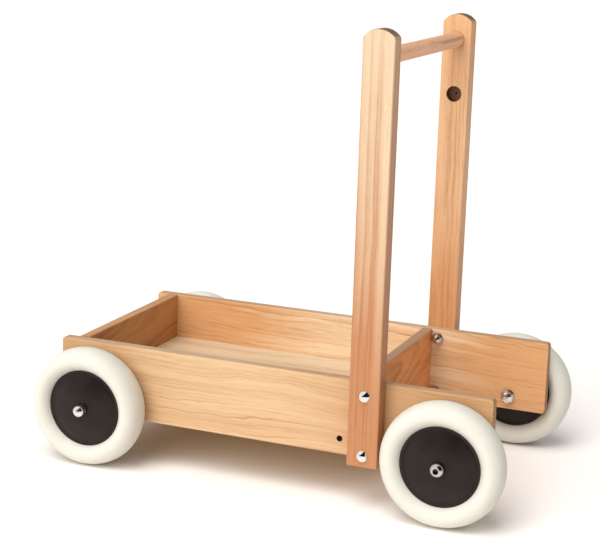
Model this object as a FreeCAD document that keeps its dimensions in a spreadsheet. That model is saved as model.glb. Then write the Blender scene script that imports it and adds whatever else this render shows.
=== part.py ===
"""Wooden push-along baby walker: a low tray on four wheels with a tall handle at the rear.

Frame: +Z up, the front faces -Y, the child walks behind at +Y, left is -X and right is +X.
The origin is under the middle of the walker, on the floor. Lengths are in millimetres.
"""
import FreeCAD, Part
import math
import os
from types import SimpleNamespace

import Sketcher

Vector = FreeCAD.Vector
Rotation = FreeCAD.Rotation

SIZES = {
    # tray of four boards round a raised floor
    "tray_width": 240,
    "board": 12,
    "board_bottom": 49.5,
    "board_top": 131.5,
    "side_front": -245,
    "side_rear": 243,
    "corner_radius": 4,
    "ease_radius": 1.5,
    "front_setback": 15,
    "rear_board_front": 95,
    "floor_top": 79,
    "floor_thickness": 5,
    "groove_depth": 4,
    "groove_play": 0.1,
    # hidden wooden dowels that join the cross boards to the side boards
    "dowel_radius": 4,
    "dowel_in_side": 8,
    "dowel_in_cross": 20,
    "dowel_inset": 20,
    "glue_gap": 0.05,
    # uprights and handle
    "upright_y": 114,
    "upright_width": 33,
    "upright_thickness": 19,
    "upright_bottom": 46,
    "upright_top": 488,
    "arch_rise": 8.5,
    "arch_corner_radius": 5,
    "handle_radius": 8.5,
    "handle_z": 460,
    "low_handle_z": 400,
    "socket_depth": 10,
    "drill_point_radius": 1.25,
    "drill_point_depth": 1.5,
    # bolts that clamp each upright to its side board
    "upper_bolt_z": 121,
    "bolt_spacing": 63,
    "tilt_angle": 30,
    "bolt_radius": 3,
    "bolt_hole_radius": 3.1,
    "bolt_head_radius": 6.25,
    "bolt_head_height": 3.6,
    "neck_half": 3,
    "neck_length": 3,
    "neck_recess": 3.2,
    "small_washer_radius": 6.5,
    "washer": 1.5,
    "small_nut_flats": 10,
    "small_nut_hex": 3.5,
    "small_nut_height": 7.5,
    "small_nut_thread": 5.5,
    # wheels
    "wheel_base_half": 200,
    "wheel_radius": 65,
    "wheel_offset": 21,
    "tyre_half_width": 18.5,
    "tyre_section_radius": 52.5,
    "tyre_section_half_height": 12.5,
    "bead_radius": 38,
    "bead_half_width": 7,
    "hub_radius": 42,
    "hub_half_width": 10,
    "hub_lip": 2.5,
    "hub_back_recess": 1.5,
    "hub_dome_radius": 75,
    "boss_radius": 10,
    "boss_outer": 17,
    "boss_inner": 19,
    "hub_bore_radius": 5.05,
    # axle hardware of each wheel
    "sleeve_radius": 5,
    "sleeve_length": 37,
    "axle_radius": 4,
    "axle_play": 0.05,
    "axle_hole_radius": 4.1,
    "axle_washer_radius": 8,
    "outer_washer_radius": 6.4,
    "axle_head_radius": 7.4,
    "axle_head_rim": 1,
    "axle_head_height": 5,
    "axle_head_flat": 4.4,
    "axle_head_dome_radius": 7,
    "socket_flats": 5,
    "axle_socket_depth": 3.2,
    "axle_nut_flats": 13,
    "axle_nut_hex": 4.5,
    "axle_nut_height": 8.5,
    "axle_nut_thread": 6.5,
}

SIDES = {"left": -1, "right": 1}
WHEELS = {
    "front_left": ("left", -1),
    "front_right": ("right", -1),
    "rear_left": ("left", 1),
    "rear_right": ("right", 1),
}


class Size:
    """A number together with the spreadsheet expression that gives it."""

    def __init__(self, number, text):
        self.number = number
        self.text = text

    def __add__(self, other):
        other = as_size(other)
        return Size(self.number + other.number, f"({self.text} + {other.text})")

    def __sub__(self, other):
        other = as_size(other)
        return Size(self.number - other.number, f"({self.text} - {other.text})")

    def __rsub__(self, other):
        return as_size(other) - self

    def __mul__(self, other):
        other = as_size(other)
        return Size(self.number * other.number, f"({self.text} * {other.text})")

    def __truediv__(self, other):
        other = as_size(other)
        return Size(self.number / other.number, f"({self.text} / {other.text})")

    def __neg__(self):
        return self * -1

    __radd__ = __add__
    __rmul__ = __mul__


def as_size(number):
    """Leaves a Size as it is and wraps a plain number."""
    if isinstance(number, Size):
        return number
    return Size(float(number), f"({float(number):.9f})")


def make_sheet():
    """Writes every driving size as a named cell of the Sizes spreadsheet."""
    sheet = doc.addObject("Spreadsheet::Sheet", "Sizes")
    for row, (alias, number) in enumerate(SIZES.items(), start=1):
        sheet.set(f"A{row}", alias.replace("_", " "))
        sheet.set(f"B{row}", str(number))
        sheet.setAlias(f"B{row}", alias)


SIZE = SimpleNamespace(**{alias: Size(float(number), f"Sizes.{alias}") for alias, number in SIZES.items()})


def bind(target, **properties):
    """Binds properties of an object, such as Length or Radius, to sizes."""
    for name, wanted in properties.items():
        target.setExpression(name, as_size(wanted).text)


def place(target, x=0, y=0, z=0, rotation=None):
    """Turns an object and binds its position."""
    target.Placement = FreeCAD.Placement(Vector(), rotation or Rotation())
    for axis, wanted in zip("xyz", (x, y, z)):
        target.setExpression(f"Placement.Base.{axis}", as_size(wanted).text)


# ---- sketches and PartDesign features ----


def new_body(name):
    body = doc.addObject("PartDesign::Body", name)
    body.Label = name
    return body


def new_sketch(body, name, plane_role, offset=None):
    """A sketch on one of the body's origin planes, moved along the plane's normal by offset."""
    sketch = body.newObject("Sketcher::SketchObject", name)
    plane = next(item for item in body.Origin.OriginFeatures if item.Role == plane_role)
    sketch.AttachmentSupport = [(plane, "")]
    sketch.MapMode = "FlatFace"
    if offset is not None:
        sketch.setExpression("AttachmentOffset.Base.z", offset.text)
    return sketch


def pin_point(sketch, shape, corner, point):
    """Fixes one point of a sketched shape at sizes measured from the sketch's origin."""
    for kind, wanted in zip(("DistanceX", "DistanceY"), point):
        wanted = as_size(wanted)
        index = sketch.addConstraint(Sketcher.Constraint(kind, -1, 1, shape, corner, wanted.number))
        sketch.setExpression(f"Constraints[{index}]", wanted.text)


def draw_outline(sketch, points, arcs=None):
    """Draws a closed outline through points. arcs gives a radius to the run that starts at a point:
    it bulges to the left of the run's direction."""
    arcs = arcs or {}
    flat = [Vector(as_size(x).number, as_size(y).number, 0) for x, y in points]
    shapes = []
    for index, start in enumerate(flat):
        end = flat[(index + 1) % len(flat)]
        if index in arcs:
            run = end - start
            sideways = Vector(-run.y, run.x, 0).normalize()
            radius = arcs[index].number
            rise = radius - math.sqrt(radius**2 - (run.Length / 2) ** 2)
            middle = (start + end) / 2 + sideways * rise
            curve = Part.ArcOfCircle(start, middle, end)
            shape = sketch.addGeometry(curve, False)
            turned = sketch.getPoint(shape, 1).distanceToPoint(start) > 1e-6
            shapes.append((shape, 2, 1) if turned else (shape, 1, 2))
        else:
            shapes.append((sketch.addGeometry(Part.LineSegment(start, end), False), 1, 2))
    for index, (shape, first, last) in enumerate(shapes):
        following, its_first, _ = shapes[(index + 1) % len(shapes)]
        sketch.addConstraint(Sketcher.Constraint("Coincident", shape, last, following, its_first))
        pin_point(sketch, shape, first, points[index])
        if index in arcs:
            place_in_list = sketch.addConstraint(Sketcher.Constraint("Radius", shape, arcs[index].number))
            sketch.setExpression(f"Constraints[{place_in_list}]", arcs[index].text)
    return sketch


def draw_circle(sketch, centre, radius):
    """Draws one circle with its centre and radius fixed."""
    middle = Vector(as_size(centre[0]).number, as_size(centre[1]).number, 0)
    shape = sketch.addGeometry(Part.Circle(middle, Vector(0, 0, 1), radius.number), False)
    pin_point(sketch, shape, 3, centre)
    index = sketch.addConstraint(Sketcher.Constraint("Radius", shape, radius.number))
    sketch.setExpression(f"Constraints[{index}]", radius.text)


def rectangle(low, high):
    """The four corners between two opposite ones."""
    return [low, (high[0], low[1]), high, (low[0], high[1])]


def hexagon(flats):
    """The corners of a hexagon of the given width across flats, centred on the origin."""
    reach = flats / math.sqrt(3)
    angles = [math.radians(60 * step) for step in range(6)]
    return [(reach * math.cos(angle), reach * math.sin(angle)) for angle in angles]


def pad(body, sketch, length, reversed_way=False, midplane=False):
    feature = body.newObject("PartDesign::Pad", sketch.Name + "_pad")
    feature.Profile = sketch
    feature.Reversed = reversed_way
    feature.Midplane = midplane
    bind(feature, Length=length)
    doc.recompute()
    return feature


def pocket(body, sketch, depth, reversed_way=False):
    """Cuts a sketch into the body and makes sure that it removed something."""
    before = body.Shape.Volume
    feature = body.newObject("PartDesign::Pocket", sketch.Name + "_pocket")
    feature.Profile = sketch
    feature.Reversed = reversed_way
    bind(feature, Length=depth)
    doc.recompute()
    if body.Shape.Volume >= before - 1e-6:
        raise RuntimeError(f"{feature.Name} cut nothing")
    return feature


def revolve(body, sketch):
    """Turns a sketch about the body's X axis."""
    feature = body.newObject("PartDesign::Revolution", sketch.Name + "_turned")
    feature.Profile = sketch
    feature.ReferenceAxis = (sketch, ["H_Axis"])
    feature.Angle = 360
    doc.recompute()
    return feature


def fillet(body, name, wanted_edge, radius):
    """Rounds the edges of the body's tip that a test picks."""
    base = body.Tip
    edges = [f"Edge{index}" for index, edge in enumerate(base.Shape.Edges, start=1) if wanted_edge(edge)]
    feature = body.newObject("PartDesign::Fillet", name)
    feature.Base = (base, edges)
    bind(feature, Radius=radius)
    doc.recompute()
    return feature


def runs_along(axis):
    """A test for straight edges that run along an axis."""

    def test(edge):
        return isinstance(edge.Curve, Part.Line) and abs(edge.Curve.Direction.dot(axis)) > 0.999

    return test


# ---- Part primitives along the X axis ----

ALONG_X = Rotation(Vector(0, 1, 0), 90)
# a cap nut's dome is a little narrower than its hexagon
DOME_SHARE = 0.46
HANDLE_CHAMFER = 1.0


def rod(name, radius, start, length):
    """A cylinder along +X that begins at start."""
    cylinder = doc.addObject("Part::Cylinder", name)
    bind(cylinder, Radius=radius, Height=length)
    place(cylinder, x=start, rotation=ALONG_X)
    return cylinder


def cut(name, base, tool):
    result = doc.addObject("Part::Cut", name)
    result.Base = base
    result.Tool = tool
    result.Label = name
    return result


def fuse(name, pieces):
    result = doc.addObject("Part::MultiFuse", name)
    result.Shapes = pieces
    result.Label = name
    return result


def tube(name, outer, inner, start, length):
    """A sleeve or washer along X."""
    wall = rod(name + "_outside", outer, start, length)
    bore = rod(name + "_bore", inner, start - 1, length + 2)
    return cut(name, wall, bore)


def group(name, pieces):
    """Like pieces that share one node, each still a solid of its own."""
    result = doc.addObject("Part::Compound", name)
    result.Links = pieces
    result.Label = name
    return result


def cap_nut(name, flats, hex_height, height, bore, thread, is_round=False):
    """A low dome nut: its hexagon or round collar sits at x = 0 and the dome points along +X."""
    if is_round:
        collar = rod(name + "_collar", flats / 2, 0, hex_height)
    else:
        collar = doc.addObject("Part::Prism", name + "_hexagon")
        collar.Polygon = 6
        bind(collar, Circumradius=flats / math.sqrt(3), Height=hex_height)
        place(collar, rotation=ALONG_X)
    dome_radius = flats * DOME_SHARE
    dome = doc.addObject("Part::Ellipsoid", name + "_dome")
    bind(dome, Radius1=height - hex_height, Radius2=dome_radius, Radius3=dome_radius)
    dome.Angle1 = 0
    place(dome, x=hex_height, rotation=ALONG_X)
    solid = fuse(name + "_solid", [collar, dome])
    return cut(name, solid, rod(name + "_thread", bore, -1, thread + 1))


# ---- the tray ----


def bolt_places():
    """Where the bolts pass through a side board: upper, lower, and the lower one's other place,
    which leans the handle back when the lower bolt is moved there."""
    lean = SIZE.tilt_angle.number
    forward = SIZE.bolt_spacing * math.sin(math.radians(lean))
    down = SIZE.bolt_spacing * math.cos(math.radians(lean))
    upper = (SIZE.upright_y, SIZE.upper_bolt_z)
    lower = (SIZE.upright_y, SIZE.upper_bolt_z - SIZE.bolt_spacing)
    leaning = (SIZE.upright_y - forward, SIZE.upper_bolt_z - down)
    return upper, lower, leaning


def dowel_heights():
    """Heights of the two dowels in the end of a cross board."""
    return SIZE.board_bottom + SIZE.dowel_inset, SIZE.board_top - SIZE.dowel_inset


def cross_board_middles():
    """The middle planes of the front and the rear cross board."""
    front = SIZE.side_front + SIZE.front_setback + SIZE.board / 2
    rear = SIZE.rear_board_front + SIZE.board / 2
    return {"front_board": front, "rear_board": rear}


def side_board(name, side):
    """A side board with its floor groove, dowel sockets, axle holes and bolt holes. The sketch plane
    is its inner face."""
    body = new_body(name)
    low = (SIZE.side_front, SIZE.board_bottom)
    high = (SIZE.side_rear, SIZE.board_top)
    outline = draw_outline(new_sketch(body, name + "_outline", "YZ_Plane"), rectangle(low, high))
    pad(body, outline, SIZE.board, reversed_way=side < 0)
    fillet(body, name + "_corners", runs_along(Vector(1, 0, 0)), SIZE.corner_radius)
    fillet(body, name + "_eased", lambda edge: not runs_along(Vector(1, 0, 0))(edge), SIZE.ease_radius)

    middles = cross_board_middles()
    groove = new_sketch(body, name + "_groove", "YZ_Plane")
    reach = SIZE.board / 2 - SIZE.groove_depth - SIZE.groove_play
    groove_low = (middles["front_board"] + reach, SIZE.floor_top - SIZE.floor_thickness - SIZE.groove_play)
    groove_high = (middles["rear_board"] - reach, SIZE.floor_top + SIZE.groove_play)
    draw_outline(groove, rectangle(groove_low, groove_high))
    pocket(body, groove, SIZE.groove_depth + SIZE.groove_play, reversed_way=side > 0)

    sockets = new_sketch(body, name + "_dowel_sockets", "YZ_Plane")
    for middle in middles.values():
        for height in dowel_heights():
            draw_circle(sockets, (middle, height), SIZE.dowel_radius + SIZE.glue_gap)
    pocket(body, sockets, SIZE.dowel_in_side, reversed_way=side > 0)

    holes = new_sketch(body, name + "_holes", "YZ_Plane")
    for centre in bolt_places():
        draw_circle(holes, centre, SIZE.bolt_hole_radius)
    for way in (-1, 1):
        draw_circle(holes, (SIZE.wheel_base_half * way, SIZE.wheel_radius), SIZE.axle_hole_radius)
    pocket(body, holes, SIZE.board, reversed_way=side > 0)
    place(body, x=(SIZE.tray_width / 2 - SIZE.board) * side)
    return body


def cross_board(name, middle, groove_side):
    """The front or rear board between the side boards, with a groove for the floor's edge and dowel
    sockets in both ends. groove_side is +1 where the groove is in the face towards +Y."""
    body = new_body(name)
    reach = SIZE.tray_width / 2 - SIZE.board
    outline = new_sketch(body, name + "_outline", "XZ_Plane")
    draw_outline(outline, rectangle((-reach, SIZE.board_bottom), (reach, SIZE.board_top)))
    pad(body, outline, SIZE.board, midplane=True)
    fillet(body, name + "_eased", runs_along(Vector(1, 0, 0)), SIZE.ease_radius)

    bottom = SIZE.floor_top - SIZE.floor_thickness - SIZE.groove_play
    top = SIZE.floor_top + SIZE.groove_play
    face = SIZE.board / 2 * groove_side
    groove_end = (SIZE.board / 2 - SIZE.groove_depth - SIZE.groove_play) * groove_side
    groove = new_sketch(body, name + "_groove", "YZ_Plane", offset=-reach)
    draw_outline(groove, rectangle((groove_end, bottom), (face, top)))
    pocket(body, groove, reach * 2, reversed_way=True)

    for side_name, side in SIDES.items():
        sockets = new_sketch(body, f"{name}_sockets_{side_name}", "YZ_Plane", offset=reach * side)
        for height in dowel_heights():
            draw_circle(sockets, (0, height), SIZE.dowel_radius + SIZE.glue_gap)
        pocket(body, sockets, SIZE.dowel_in_cross, reversed_way=side < 0)
    place(body, y=middle)
    return body


def dowels(name, middle):
    """The four dowels of one cross board."""
    pieces = []
    inner_face = SIZE.tray_width / 2 - SIZE.board
    length = SIZE.dowel_in_side + SIZE.dowel_in_cross - 1
    for side_name, side in SIDES.items():
        for level, height in zip(("low", "high"), dowel_heights()):
            dowel = doc.addObject("Part::Cylinder", f"{name}_{side_name}_{level}")
            bind(dowel, Radius=SIZE.dowel_radius, Height=length)
            inner_end = (inner_face - SIZE.dowel_in_cross + 0.5) * side
            place(dowel, x=inner_end, y=middle, z=height, rotation=Rotation(Vector(0, side, 0), 90))
            pieces.append(dowel)
    return group(name, pieces)


def floor_board():
    """The thin tray floor, its four edges in the boards' grooves."""
    body = new_body("floor_board")
    middles = cross_board_middles()
    half = SIZE.tray_width / 2 - SIZE.board + SIZE.groove_depth
    front = middles["front_board"] + SIZE.board / 2 - SIZE.groove_depth
    rear = middles["rear_board"] - SIZE.board / 2 + SIZE.groove_depth
    outline = new_sketch(body, "floor_outline", "XY_Plane")
    draw_outline(outline, rectangle((-half, front), (half, rear)))
    pad(body, outline, SIZE.floor_thickness)
    place(body, z=SIZE.floor_top - SIZE.floor_thickness)
    return body


# ---- uprights and handle ----


def upright(name, side):
    """A flat upright with an arched top, two handle sockets in its inner face and two bolt holes.
    The sketch plane is its inner face, against the side board."""
    body = new_body(name)
    half = SIZE.upright_width / 2
    front = SIZE.upright_y - half
    rear = SIZE.upright_y + half
    shoulder = SIZE.upright_top - SIZE.arch_rise
    rise = SIZE.arch_rise
    arch_radius = (half * half + rise * rise) / (rise * 2)
    points = [(front, shoulder), (rear, shoulder), (rear, SIZE.upright_bottom), (front, SIZE.upright_bottom)]
    outline = new_sketch(body, name + "_outline", "YZ_Plane")
    draw_outline(outline, points, arcs={0: arch_radius})
    pad(body, outline, SIZE.upright_thickness, reversed_way=side < 0)

    def at_shoulder(edge):
        return runs_along(Vector(1, 0, 0))(edge) and edge.CenterOfMass.z > shoulder.number - 1

    def at_foot(edge):
        return runs_along(Vector(1, 0, 0))(edge) and edge.CenterOfMass.z < SIZE.upright_bottom.number + 1

    fillet(body, name + "_shoulders", at_shoulder, SIZE.arch_corner_radius)
    fillet(body, name + "_feet", at_foot, SIZE.ease_radius)
    fillet(body, name + "_eased", lambda edge: not runs_along(Vector(1, 0, 0))(edge), SIZE.ease_radius)

    handle_sockets = new_sketch(body, name + "_handle_sockets", "YZ_Plane")
    drill_points = new_sketch(body, name + "_drill_points", "YZ_Plane", offset=SIZE.socket_depth * side)
    for height in (SIZE.handle_z, SIZE.low_handle_z):
        draw_circle(handle_sockets, (SIZE.upright_y, height), SIZE.handle_radius + SIZE.glue_gap)
        draw_circle(drill_points, (SIZE.upright_y, height), SIZE.drill_point_radius)
    pocket(body, handle_sockets, SIZE.socket_depth, reversed_way=side > 0)
    pocket(body, drill_points, SIZE.drill_point_depth, reversed_way=side > 0)

    upper, lower, _ = bolt_places()
    holes = new_sketch(body, name + "_bolt_holes", "YZ_Plane")
    draw_circle(holes, upper, SIZE.bolt_hole_radius)
    draw_circle(holes, lower, SIZE.bolt_hole_radius)
    pocket(body, holes, SIZE.upright_thickness, reversed_way=side > 0)

    for level, (across, height) in zip(("upper", "lower"), (upper, lower)):
        outer_face = SIZE.upright_thickness * side
        recess = new_sketch(body, f"{name}_{level}_neck_recess", "YZ_Plane", offset=outer_face)
        reach = SIZE.neck_half + SIZE.glue_gap
        draw_outline(recess, rectangle((across - reach, height - reach), (across + reach, height + reach)))
        pocket(body, recess, SIZE.neck_recess, reversed_way=side < 0)
    place(body, x=SIZE.tray_width / 2 * side)
    return body


def handle_bar():
    """The round bar, seated in the upper sockets of both uprights."""
    reach = SIZE.tray_width / 2 + SIZE.socket_depth - 0.2
    bar = rod("handle_bar_stock", SIZE.handle_radius, -reach, reach * 2)
    place(bar, x=-reach, y=SIZE.upright_y, z=SIZE.handle_z, rotation=ALONG_X)
    doc.recompute()
    eased = doc.addObject("Part::Chamfer", "handle_bar")
    eased.Base = bar
    rims = [index for index, edge in enumerate(bar.Shape.Edges, start=1) if isinstance(edge.Curve, Part.Circle)]
    eased.Edges = [(index, HANDLE_CHAMFER, HANDLE_CHAMFER) for index in rims]
    eased.Label = "handle_bar"
    return eased


def upright_fasteners(side_name, side):
    """Round-headed square-neck bolts from outside, with a washer and a cap nut inside."""
    turn = Rotation() if side > 0 else Rotation(Vector(0, 0, 1), 180)
    inner_face = (SIZE.tray_width / 2 - SIZE.board) * side
    outer_face = (SIZE.tray_width / 2 + SIZE.upright_thickness) * side
    stack = SIZE.upright_thickness + SIZE.board + SIZE.washer
    pieces = []
    for level, (across, height) in zip(("upper", "lower"), bolt_places()[:2]):
        label = f"{side_name}_{level}"
        bolt = new_body(f"upright_bolt_{label}")
        section = new_sketch(bolt, f"upright_bolt_{label}_section", "XY_Plane")
        head_radius = SIZE.bolt_head_radius
        head_height = SIZE.bolt_head_height
        dome = (head_radius * head_radius + head_height * head_height) / (head_height * 2)
        tip = -(stack + SIZE.small_nut_thread - 0.5)
        points = [
            (tip, 0),
            (tip, SIZE.bolt_radius),
            (0, SIZE.bolt_radius),
            (0, head_radius),
            (head_height, 0),
        ]
        revolve(bolt, draw_outline(section, points, arcs={3: dome}))
        neck = new_sketch(bolt, f"upright_bolt_{label}_neck", "YZ_Plane")
        half = SIZE.neck_half
        draw_outline(neck, rectangle((-half, -half), (half, half)))
        pad(bolt, neck, SIZE.neck_length, reversed_way=True)
        place(bolt, x=outer_face, y=across, z=height, rotation=turn)

        washer = tube(
            f"upright_washer_{label}", SIZE.small_washer_radius, SIZE.bolt_hole_radius, 0, SIZE.washer
        )
        inward = Rotation(Vector(0, 0, 1), 180) if side > 0 else Rotation()
        place(washer, x=inner_face, y=across, z=height, rotation=inward)
        nut = cap_nut(
            f"upright_nut_{label}",
            SIZE.small_nut_flats,
            SIZE.small_nut_hex,
            SIZE.small_nut_height,
            SIZE.bolt_radius + SIZE.glue_gap,
            SIZE.small_nut_thread,
        )
        place(nut, x=inner_face - SIZE.washer * side, y=across, z=height, rotation=inward)
        pieces += [bolt, washer, nut]
    return pieces


# ---- wheels: each is made about its own centre with +X pointing away from the walker ----


def place_at_wheel(target, station, along=0, flip=False):
    """Puts a piece at a wheel's axis, along the axis by a size, and turned to face outwards, or
    inwards where flip is set."""
    side_name, way = WHEELS[station]
    side = SIDES[side_name]
    facing = side * (-1 if flip else 1)
    turn = Rotation() if facing > 0 else Rotation(Vector(0, 0, 1), 180)
    middle = SIZE.tray_width / 2 + SIZE.wheel_offset
    place(
        target,
        x=(middle + along) * side,
        y=SIZE.wheel_base_half * way,
        z=SIZE.wheel_radius,
        rotation=turn,
    )


def hub(station):
    """A moulded hub: domed face, flat back with a shallow recess, boss, and a rim with a channel
    for the tyre's bead."""
    name = f"hub_{station}"
    body = new_body(name)
    half = SIZE.hub_half_width
    rim = SIZE.hub_radius
    boss = SIZE.boss_radius
    recess = SIZE.hub_back_recess
    points = [
        (half, rim - SIZE.hub_lip),
        (SIZE.boss_outer, boss),
        (SIZE.boss_outer, SIZE.hub_bore_radius),
        (-SIZE.boss_inner, SIZE.hub_bore_radius),
        (-SIZE.boss_inner, boss),
        (recess - half, boss),
        (recess - half, rim - SIZE.hub_lip),
        (-half, rim - SIZE.hub_lip),
        (-half, rim),
        (-SIZE.bead_half_width, rim),
        (-SIZE.bead_half_width, SIZE.bead_radius),
        (SIZE.bead_half_width, SIZE.bead_radius),
        (SIZE.bead_half_width, rim),
        (half, rim),
    ]
    section = new_sketch(body, name + "_section", "XY_Plane")
    revolve(body, draw_outline(section, points, arcs={0: SIZE.hub_dome_radius}))
    place_at_wheel(body, station)
    return body


def tyre(station):
    """A smooth tyre of elliptical section whose bead sits in the hub's channel."""
    name = f"tyre_{station}"
    section = doc.addObject("Part::Ellipse", name + "_section")
    bind(section, MajorRadius=SIZE.tyre_half_width, MinorRadius=SIZE.tyre_section_half_height)
    place(section, y=SIZE.tyre_section_radius)
    ring = doc.addObject("Part::Revolution", name + "_ring")
    ring.Source = section
    ring.Axis = Vector(1, 0, 0)
    ring.Angle = 360
    ring.Solid = True
    bead = rod(name + "_bead", SIZE.hub_radius + 4, -SIZE.bead_half_width, SIZE.bead_half_width * 2)
    stock = fuse(name + "_stock", [ring, bead])
    reach = SIZE.tyre_half_width + 2
    bore = rod(name + "_bore", SIZE.bead_radius, -reach, reach * 2)
    lip_length = reach - SIZE.bead_half_width
    outer_seat = rod(name + "_outer_seat", SIZE.hub_radius, SIZE.bead_half_width, lip_length)
    inner_seat = rod(name + "_inner_seat", SIZE.hub_radius, -reach, lip_length)
    result = cut(name, stock, fuse(name + "_room_for_hub", [bore, outer_seat, inner_seat]))
    place_at_wheel(result, station)
    return result


def axle_bolt(station):
    """A button-headed bolt with a hexagon socket. The head's underside is at x = 0."""
    name = f"axle_bolt_{station}"
    body = new_body(name)
    head = SIZE.axle_head_radius
    rim = SIZE.axle_head_rim
    height = SIZE.axle_head_height
    flat = SIZE.axle_head_flat
    grip = SIZE.sleeve_length + SIZE.board + SIZE.washer * 3
    tip = -(grip + SIZE.axle_nut_thread - 0.5)
    points = [
        (tip, 0),
        (tip, SIZE.axle_radius),
        (0, SIZE.axle_radius),
        (0, head),
        (rim, head),
        (height, flat),
        (height, 0),
    ]
    section = new_sketch(body, name + "_section", "XY_Plane")
    revolve(body, draw_outline(section, points, arcs={4: SIZE.axle_head_dome_radius}))
    socket = new_sketch(body, name + "_socket", "YZ_Plane", offset=height)
    draw_outline(socket, hexagon(SIZE.socket_flats))
    pocket(body, socket, SIZE.axle_socket_depth)
    return body


def axle_hardware(station):
    """Bolt, running sleeve, washers and cap nut of one wheel. The rear bolts go in from outside and
    the front ones from inside, so a front wheel shows its round cap nut."""
    sleeve = tube(
        f"axle_sleeve_{station}",
        SIZE.sleeve_radius,
        SIZE.axle_radius + SIZE.axle_play,
        0,
        SIZE.sleeve_length,
    )
    panel_face = -SIZE.wheel_offset
    sleeve_start = panel_face + SIZE.washer
    place_at_wheel(sleeve, station, along=sleeve_start)

    inner_face = panel_face - SIZE.board
    starts = {
        "panel": panel_face,
        "outer": sleeve_start + SIZE.sleeve_length,
        "inside": inner_face - SIZE.washer,
    }
    washers = []
    for where, start in starts.items():
        radius = SIZE.outer_washer_radius if where == "outer" else SIZE.axle_washer_radius
        washer = tube(f"axle_washer_{station}_{where}", radius, SIZE.axle_hole_radius, 0, SIZE.washer)
        place_at_wheel(washer, station, along=start)
        washers.append(washer)

    outer_end = starts["outer"] + SIZE.washer
    inner_end = starts["inside"]
    is_rear = WHEELS[station][1] > 0
    bolt = axle_bolt(station)
    nut = cap_nut(
        f"axle_nut_{station}",
        SIZE.axle_nut_flats,
        SIZE.axle_nut_hex,
        SIZE.axle_nut_height,
        SIZE.axle_radius + SIZE.glue_gap,
        SIZE.axle_nut_thread,
        is_round=not is_rear,
    )
    place_at_wheel(bolt, station, along=outer_end if is_rear else inner_end, flip=not is_rear)
    place_at_wheel(nut, station, along=inner_end if is_rear else outer_end, flip=is_rear)
    return [sleeve, bolt, nut, group(f"axle_washers_{station}", washers)]


# ---- the whole walker ----


def check(nodes):
    """Stops if anything failed to build, or a node is empty, broken or of the wrong kind."""
    for item in doc.Objects:
        if "Invalid" in item.State or "Error" in item.State:
            raise RuntimeError(f"{item.Name} failed: {item.State}")
    for node in nodes:
        if node.Shape.isNull() or not node.Shape.isValid() or not node.Shape.Solids:
            raise RuntimeError(f"{node.Label} has no valid solid")


doc = FreeCAD.newDocument("baby_walker")
make_sheet()
doc.recompute()

nodes = [floor_board(), handle_bar()]
for side_name, side in SIDES.items():
    nodes.append(side_board(f"side_board_{side_name}", side))
    nodes.append(upright(f"upright_{side_name}", side))
    nodes += upright_fasteners(side_name, side)
for board_name, middle in cross_board_middles().items():
    nodes.append(cross_board(board_name, middle, 1 if board_name == "front_board" else -1))
    nodes.append(dowels(f"{board_name}_dowels", middle))
for station in WHEELS:
    nodes += [hub(station), tyre(station)]
    nodes += axle_hardware(station)

doc.recompute()
check(nodes)
os.makedirs("parts", exist_ok=True)
for node in nodes:
    node.Shape.exportStep(f"parts/{node.Label}.step")
    print(f"{node.Label}: {len(node.Shape.Solids)} solid(s), {node.Shape.Volume:.0f} mm3")
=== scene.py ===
"""Looks of a wooden push-along baby walker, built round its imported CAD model.

Frame: metres, +Z up, the front faces -Y, the child walks behind at +Y, left is -X, right is +X.
The boards and uprights are the CAD nodes with a beech finish. The handle bar, tyres, hubs, bolts,
nuts and washers are surfaces worked out here, each in the place of the CAD node that it replaces.
"""

import logging
import math
from collections.abc import Callable
from dataclasses import dataclass, field, replace
from enum import Enum

import bmesh
import bpy
import numpy as np
from mathutils import Matrix, Vector


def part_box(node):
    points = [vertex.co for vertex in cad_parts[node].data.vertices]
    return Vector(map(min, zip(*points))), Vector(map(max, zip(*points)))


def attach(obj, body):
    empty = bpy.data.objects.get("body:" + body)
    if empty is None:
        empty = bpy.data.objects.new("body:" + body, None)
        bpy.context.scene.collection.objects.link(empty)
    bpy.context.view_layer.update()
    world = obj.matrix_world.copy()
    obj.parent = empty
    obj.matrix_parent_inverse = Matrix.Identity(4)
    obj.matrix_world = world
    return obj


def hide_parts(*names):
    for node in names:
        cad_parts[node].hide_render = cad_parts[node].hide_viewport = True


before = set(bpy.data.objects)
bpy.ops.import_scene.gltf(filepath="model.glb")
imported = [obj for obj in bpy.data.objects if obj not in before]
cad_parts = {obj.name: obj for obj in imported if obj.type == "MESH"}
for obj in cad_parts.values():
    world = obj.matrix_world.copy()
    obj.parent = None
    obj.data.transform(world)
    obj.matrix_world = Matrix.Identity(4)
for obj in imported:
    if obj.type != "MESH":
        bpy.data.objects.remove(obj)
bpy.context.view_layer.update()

LOG = logging.getLogger("baby_walker")
MERGE = 2e-6
Colour = tuple[float, float, float]
Key = str | int
Spot = tuple[float, float]
Greys = tuple[Spot, ...]
Radius = Callable[[np.ndarray, np.ndarray], np.ndarray]


# ---- shader maths ----


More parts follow.
